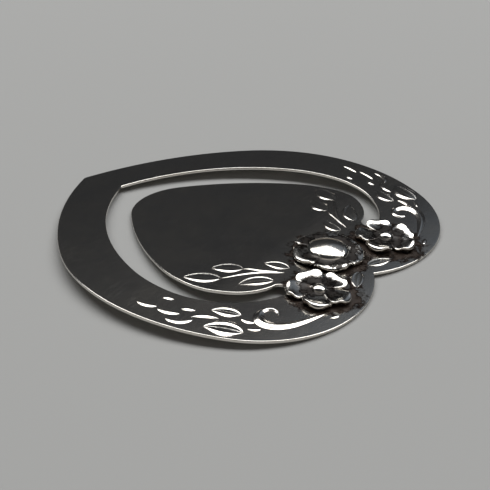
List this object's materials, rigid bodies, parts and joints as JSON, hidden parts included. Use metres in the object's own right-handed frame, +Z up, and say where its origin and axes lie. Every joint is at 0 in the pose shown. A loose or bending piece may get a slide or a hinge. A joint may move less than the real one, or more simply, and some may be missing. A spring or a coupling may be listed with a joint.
{
  "type": "heart page clip bookmark",
  "caption": "Thin sheet-silver page clip in the shape of a heart, pierced by a heart-shaped slot that frees a springy tongue, with raised flowers, leaves and scrolls.",
  "frame": {"origin": "on the resting surface, under the middle of the heart's length and width", "axes": "+Y from the lobes to the tip along the heart's axis of symmetry, +X across to the right lobe, +Z up through the decorated face"},
  "size_m": [0.0494, 0.05, 0.0028],
  "materials": {
    "sheet": "polished sterling silver with fine wear scratches",
    "relief": "polished sterling silver relief, brown-black tarnish in its recesses"
  },
  "bodies": {
    "frame": {"heart_frame": "sheet", "rose_petals": "relief", "rose_bud": "relief", "left_blossom_petals": "relief", "right_blossom_petals": "relief", "left_blossom_centre": "relief", "right_blossom_centre": "relief", "left_scroll": "relief", "right_scroll": "relief", "left_frame_leaves": "relief", "right_frame_leaves": "relief", "left_notch_leaf": "relief", "right_notch_leaf": "relief", "left_neck_leaves": "relief", "right_neck_leaves": "relief"},
    "tongue": {"tongue_flexure": "sheet", "page_tongue": "sheet", "left_tongue_leaves": "relief", "right_tongue_leaves": "relief"}
  },
  "joints": [
    {"name": "tongue_flex", "type": "hinge", "parent": "frame", "child": "tongue", "pos_m": [0, -0.01009, 0.00128], "axis": [1, 0, 0], "range_deg": [0, 8], "stiffness_Nm_per_rad": 1.4, "deforming": ["tongue_flexure"]}
  ]
}
